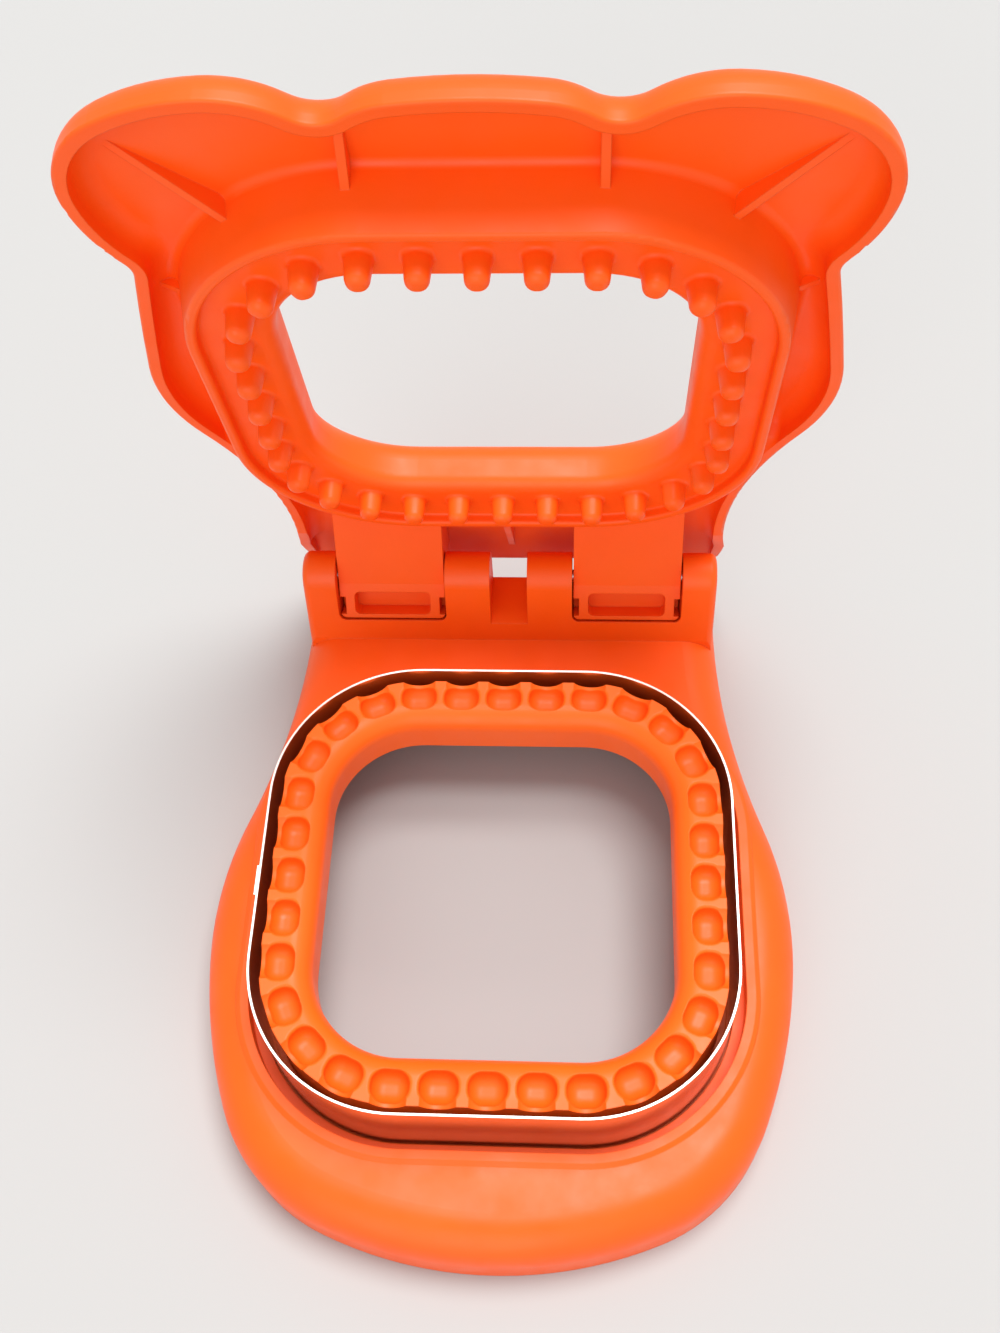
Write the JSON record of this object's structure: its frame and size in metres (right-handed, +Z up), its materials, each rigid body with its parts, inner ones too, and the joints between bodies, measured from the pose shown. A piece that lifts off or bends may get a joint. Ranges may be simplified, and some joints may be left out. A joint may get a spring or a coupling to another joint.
{
  "type": "sandwich cutter and sealer",
  "caption": "Hinged orange plastic kitchen mould that cuts the crust off a filled sandwich with a square steel blade and crimps its edge shut.",
  "frame": {"origin": "on the table plane, under the middle of the square opening of the base", "axes": "+Z up from the table, +Y towards the hinge at the back, +X along the hinge axis to the right seen from the front"},
  "size_m": [0.12, 0.1534, 0.168],
  "materials": {
    "orange_plastic": "satin moulded ABS",
    "ring_plastic": "satin moulded ABS",
    "blade_steel": "bright rolled stainless strip",
    "pin_steel": "ground steel",
    "screw_steel": "zinc-plated steel"
  },
  "bodies": {
    "base": {"base_shell": "orange_plastic", "crimp_ring": "ring_plastic", "cutter_blade": "blade_steel", "ring_screws": "screw_steel", "hinge_pin_left": "pin_steel", "hinge_pin_right": "pin_steel"},
    "lid": {"lid_shell": "orange_plastic"}
  },
  "joints": [
    {"name": "lid_hinge", "type": "hinge", "parent": "base", "child": "lid", "pos_m": [0, 0.0712, 0.0292], "axis": [1, 0, 0], "range_deg": [-17, 78]}
  ]
}
